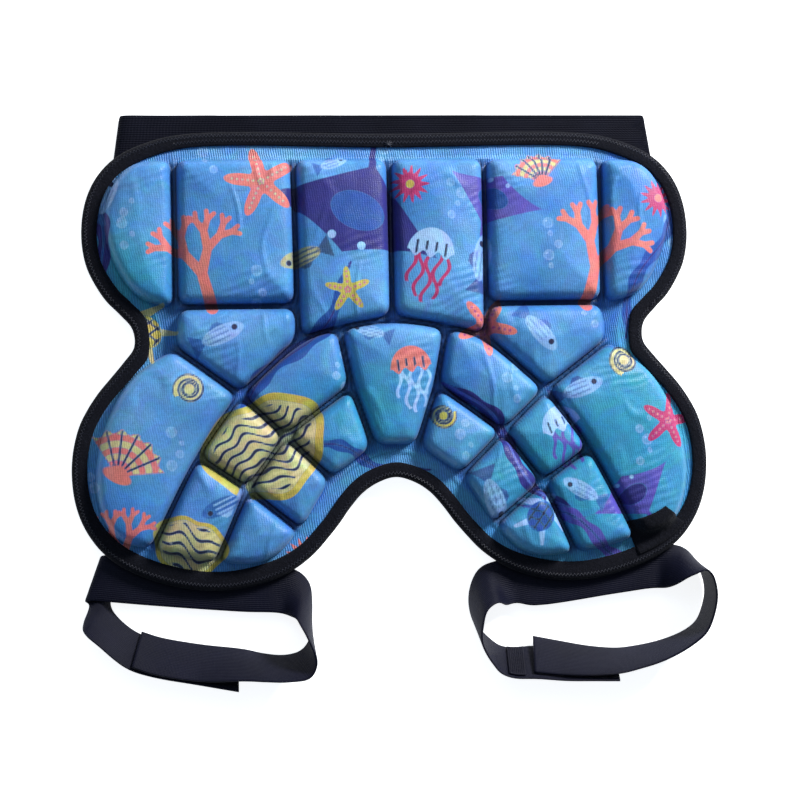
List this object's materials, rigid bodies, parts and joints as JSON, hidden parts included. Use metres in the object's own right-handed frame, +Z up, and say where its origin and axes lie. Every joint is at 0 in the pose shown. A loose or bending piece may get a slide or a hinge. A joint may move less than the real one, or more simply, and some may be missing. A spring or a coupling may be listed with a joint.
{
  "type": "tailbone protector",
  "caption": "Child's hip and tailbone guard: a butterfly-shaped pad of raised foam cells under printed fabric, with an elastic waistband and hook-and-loop leg loops.",
  "frame": {"origin": "middle of the surface that the protector lies on, under the middle of its overall length and width, face up", "axes": "+X to the right across the pad with the waistband at the top, +Y from the leg loops towards the waistband, +Z up, away from the wearer"},
  "size_m": [0.4138, 0.3728, 0.0315],
  "materials": {
    "printed_fabric": "fine rib knit with a sea-life print",
    "binding": "brushed stretch binding tape",
    "elastic": "ribbed woven elastic",
    "hook_tape": "moulded hooks on a woven tape"
  },
  "bodies": {
    "root": {"base_panel": "printed_fabric", "tailbone_cell": "printed_fabric", "hip_cell_left": "printed_fabric", "hip_cell_right": "printed_fabric", "upper_cell_outer_left": "printed_fabric", "upper_cell_outer_right": "printed_fabric", "upper_cell_inner_left": "printed_fabric", "upper_cell_inner_right": "printed_fabric", "wedge_cell_left": "printed_fabric", "wedge_cell_right": "printed_fabric", "thigh_cell_left": "printed_fabric", "thigh_cell_right": "printed_fabric", "seat_cell_1_left": "printed_fabric", "seat_cell_1_right": "printed_fabric", "seat_cell_2_left": "printed_fabric", "seat_cell_2_right": "printed_fabric", "seat_cell_3_left": "printed_fabric", "seat_cell_3_right": "printed_fabric", "seat_cell_4_left": "printed_fabric", "seat_cell_4_right": "printed_fabric", "seat_cell_5_left": "printed_fabric", "seat_cell_5_right": "printed_fabric", "seat_cell_6_left": "printed_fabric", "seat_cell_6_right": "printed_fabric", "edge_binding": "binding", "waistband": "elastic", "leg_strap_left": "elastic", "leg_strap_right": "elastic", "hook_patch": "hook_tape"}
  },
  "joints": []
}
